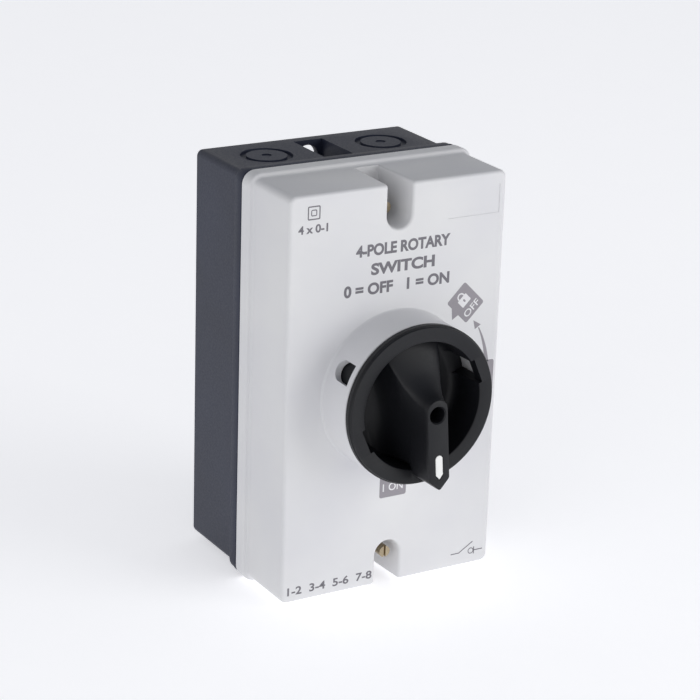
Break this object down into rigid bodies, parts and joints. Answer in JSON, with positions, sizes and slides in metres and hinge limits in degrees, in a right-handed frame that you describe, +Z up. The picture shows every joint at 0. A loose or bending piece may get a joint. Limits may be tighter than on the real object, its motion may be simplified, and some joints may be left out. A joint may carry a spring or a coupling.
{
  "type": "rotary isolator switch",
  "caption": "Wall-mounted weatherproof enclosure with a lift-off cover and a padlockable rotary handle that turns a stacked switch on a rail inside.",
  "frame": {"origin": "centre of the flat rear face that lies on the wall", "axes": "+Z up, +X to the right of someone facing the switch, +Y into the wall; the handle faces -Y"},
  "size_m": [0.1016, 0.1125, 0.1722],
  "materials": {
    "enclosure_plastic": "fine texture",
    "cover_plastic": "fine texture",
    "handle_plastic": "satin",
    "mark_plastic": "satin",
    "seal_rubber": "matt",
    "brass": "turned",
    "screw_brass": "nickel-plated, dull",
    "zinc_steel": "zinc-plated",
    "spindle_steel": "drawn",
    "switch_plastic": "moulded",
    "drive_nylon": "moulded",
    "contact_copper": "silver-flashed copper"
  },
  "bodies": {
    "enclosure": {"contact_deck_1": "switch_plastic", "contact_deck_2": "switch_plastic", "contact_deck_3": "switch_plastic", "contact_deck_4": "switch_plastic", "cover_gasket": "seal_rubber", "din_rail": "zinc_steel", "line_clamp_1": "zinc_steel", "line_clamp_2": "zinc_steel", "line_clamp_3": "zinc_steel", "line_clamp_4": "zinc_steel", "line_contact_1": "contact_copper", "line_contact_2": "contact_copper", "line_contact_3": "contact_copper", "line_contact_4": "contact_copper", "load_clamp_1": "zinc_steel", "load_clamp_2": "zinc_steel", "load_clamp_3": "zinc_steel", "load_clamp_4": "zinc_steel", "load_contact_1": "contact_copper", "load_contact_2": "contact_copper", "load_contact_3": "contact_copper", "load_contact_4": "contact_copper", "mechanism_housing": "switch_plastic", "mechanism_lid": "switch_plastic", "rail_screws": "zinc_steel", "rear_enclosure": "enclosure_plastic", "screw_inserts": "brass", "stack_bolts": "zinc_steel", "stack_nuts": "zinc_steel", "switch_foot": "switch_plastic", "terminal_screws": "zinc_steel"},
    "cover": {"front_cover": "cover_plastic", "screw_seals": "seal_rubber"},
    "handle": {"handle_knob": "handle_plastic", "handle_mark": "mark_plastic", "handle_screw": "zinc_steel", "drive_hub": "drive_nylon", "hub_seal": "seal_rubber"},
    "rotor": {"spindle": "spindle_steel", "snap_driver": "drive_nylon", "snap_spring": "zinc_steel", "cam_rotor_1": "drive_nylon", "cam_rotor_2": "drive_nylon", "cam_rotor_3": "drive_nylon", "cam_rotor_4": "drive_nylon", "contact_blade_1": "contact_copper", "contact_blade_2": "contact_copper", "contact_blade_3": "contact_copper", "contact_blade_4": "contact_copper"},
    "latch": {"rail_latch": "drive_nylon"},
    "top_screw": {"cover_screw_top": "screw_brass"},
    "bottom_screw": {"cover_screw_bottom": "screw_brass"}
  },
  "joints": [
    {"name": "cover_lift", "type": "slide", "parent": "enclosure", "child": "cover", "axis": [0, -1, 0], "range_m": [0, 0.045]},
    {"name": "handle_turn", "type": "hinge", "parent": "cover", "child": "handle", "pos_m": [0, -0.0782, 0], "axis": [0, -1, 0], "range_deg": [-4.5, 130.5]},
    {"name": "rotor_turn", "type": "hinge", "parent": "enclosure", "child": "rotor", "pos_m": [0, -0.05, 0], "axis": [0, -1, 0], "range_deg": [-4.5, 130.5]},
    {"name": "top_screw_drive", "type": "slide", "parent": "cover", "child": "top_screw", "axis": [0, 1, 0], "range_m": [-0.009, 0.01]},
    {"name": "bottom_screw_drive", "type": "slide", "parent": "cover", "child": "bottom_screw", "axis": [0, 1, 0], "range_m": [0, 0.019]},
    {"name": "latch_pull", "type": "slide", "parent": "enclosure", "child": "latch", "axis": [0, 0, -1], "range_m": [0, 0.0036], "stiffness_N_per_m": 300}
  ],
  "couplings": [
    {"joint": "rotor_turn", "follows": "handle_turn", "ratio": 1}
  ]
}
